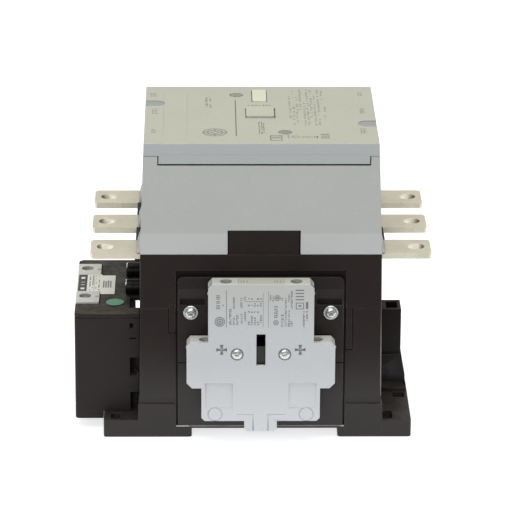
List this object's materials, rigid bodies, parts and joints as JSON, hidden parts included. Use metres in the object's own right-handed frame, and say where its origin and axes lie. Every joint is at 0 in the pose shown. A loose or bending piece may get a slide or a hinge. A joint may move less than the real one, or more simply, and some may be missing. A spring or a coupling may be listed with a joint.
{
  "type": "power contactor",
  "caption": "Power contactor with bolt-on terminal bars, screw feet, a side auxiliary contact block and an end coil module; a sprung armature slide closes its contact bridges.",
  "frame": {"origin": "centre of the bounding footprint on the mounting plane: z = 0 is the underside of the feet, and the middle of the three poles lies at X +5.75 mm, Y +5.95 mm", "axes": "+X from the line bars to the load bars along the current path, +Y across the poles away from the auxiliary block, +Z from the mounting plane to the front face"},
  "size_m": [0.2374, 0.1524, 0.2076],
  "materials": {
    "black_moulding": "fine matt black moulding",
    "module_moulding": "fine matt brown-black moulding",
    "cover_moulding": "fine matt light grey moulding",
    "lid_moulding": "fine matt warm grey moulding",
    "aux_moulding": "smooth light grey moulding",
    "white_moulding": "smooth white moulding",
    "carrier_moulding": "dark brown phenolic moulding",
    "slider_moulding": "smooth black moulding",
    "plug_rubber": "moulded rubber",
    "buffer_rubber": "sheet rubber",
    "tinned_copper": "tin-plated copper, dull warm silver",
    "contact_copper": "bare copper with silver tips",
    "zinc_steel": "bright zinc-plated steel",
    "core_steel": "laminated electrical steel",
    "spring_steel": "drawn spring wire",
    "chute_steel": "copper-flashed steel splitter plates",
    "bobbin_nylon": "natural glass-filled nylon",
    "winding_copper": "enamelled copper wire under lacquer",
    "circuit_board": "green solder mask",
    "terminal_moulding": "light grey moulding",
    "label_film": "white printed film",
    "green_seal": "green adhesive seal"
  },
  "bodies": {
    "enclosure": {"arc_cover": "cover_moulding", "aux_block_housing": "aux_moulding", "aux_mounting_screw_1": "zinc_steel", "aux_mounting_screw_2": "zinc_steel", "aux_terminal_screw_1": "zinc_steel", "aux_terminal_screw_2": "zinc_steel", "aux_terminal_screw_3": "zinc_steel", "aux_terminal_screw_4": "zinc_steel", "base_housing": "black_moulding", "coil_bobbin": "bobbin_nylon", "coil_label": "label_film", "coil_lead_plug_1": "plug_rubber", "coil_lead_plug_2": "plug_rubber", "coil_module_board": "circuit_board", "coil_module_cover": "module_moulding", "coil_module_housing": "module_moulding", "coil_terminal_block": "terminal_moulding", "coil_terminal_screw_1": "zinc_steel", "coil_terminal_screw_2": "zinc_steel", "coil_winding": "winding_copper", "contact_housing": "black_moulding", "core_buffer": "buffer_rubber", "cover_screw_1": "zinc_steel", "cover_screw_2": "zinc_steel", "fixed_core": "core_steel", "green_seal": "green_seal", "line_arc_chute_1": "chute_steel", "line_arc_chute_2": "chute_steel", "line_arc_chute_3": "chute_steel", "line_terminal_bar_1": "tinned_copper", "line_terminal_bar_2": "tinned_copper", "line_terminal_bar_3": "tinned_copper", "load_arc_chute_1": "chute_steel", "load_arc_chute_2": "chute_steel", "load_arc_chute_3": "chute_steel", "load_terminal_bar_1": "tinned_copper", "load_terminal_bar_2": "tinned_copper", "load_terminal_bar_3": "tinned_copper", "marker_tile": "lid_moulding", "panel_front_screw_1": "zinc_steel", "panel_front_screw_2": "zinc_steel", "panel_rear_screw_1": "zinc_steel", "panel_rear_screw_2": "zinc_steel", "return_spring_1": "spring_steel", "return_spring_2": "spring_steel", "side_panel_front": "black_moulding", "side_panel_rear": "black_moulding", "top_lid": "lid_moulding"},
    "moving_carrier": {"contact_carrier": "carrier_moulding", "armature_core": "core_steel", "armature_pin": "zinc_steel", "position_indicator": "white_moulding", "contact_spring_1": "spring_steel", "contact_spring_2": "spring_steel", "contact_spring_3": "spring_steel"},
    "bridge_1": {"contact_bridge_1": "contact_copper"},
    "bridge_2": {"contact_bridge_2": "contact_copper"},
    "bridge_3": {"contact_bridge_3": "contact_copper"},
    "aux_actuator": {"aux_slider": "slider_moulding"}
  },
  "joints": [
    {"name": "armature_slide", "type": "slide", "parent": "enclosure", "child": "moving_carrier", "axis": [0, 0, -1], "range_m": [0, 0.008], "deforming": ["return_spring_1", "return_spring_2"]},
    {"name": "bridge_slide_1", "type": "slide", "parent": "moving_carrier", "child": "bridge_1", "axis": [0, 0, 1], "range_m": [0, 0.002], "deforming": ["contact_spring_1"]},
    {"name": "bridge_slide_2", "type": "slide", "parent": "moving_carrier", "child": "bridge_2", "axis": [0, 0, 1], "range_m": [0, 0.002], "deforming": ["contact_spring_2"]},
    {"name": "bridge_slide_3", "type": "slide", "parent": "moving_carrier", "child": "bridge_3", "axis": [0, 0, 1], "range_m": [0, 0.002], "deforming": ["contact_spring_3"]},
    {"name": "aux_actuator_slide", "type": "slide", "parent": "enclosure", "child": "aux_actuator", "axis": [0, 0, -1], "range_m": [0, 0.008]}
  ],
  "couplings": [
    {"joint": "bridge_slide_1", "follows": "armature_slide", "ratio": 0.25},
    {"joint": "bridge_slide_2", "follows": "armature_slide", "ratio": 0.25},
    {"joint": "bridge_slide_3", "follows": "armature_slide", "ratio": 0.25},
    {"joint": "aux_actuator_slide", "follows": "armature_slide", "ratio": 1}
  ]
}
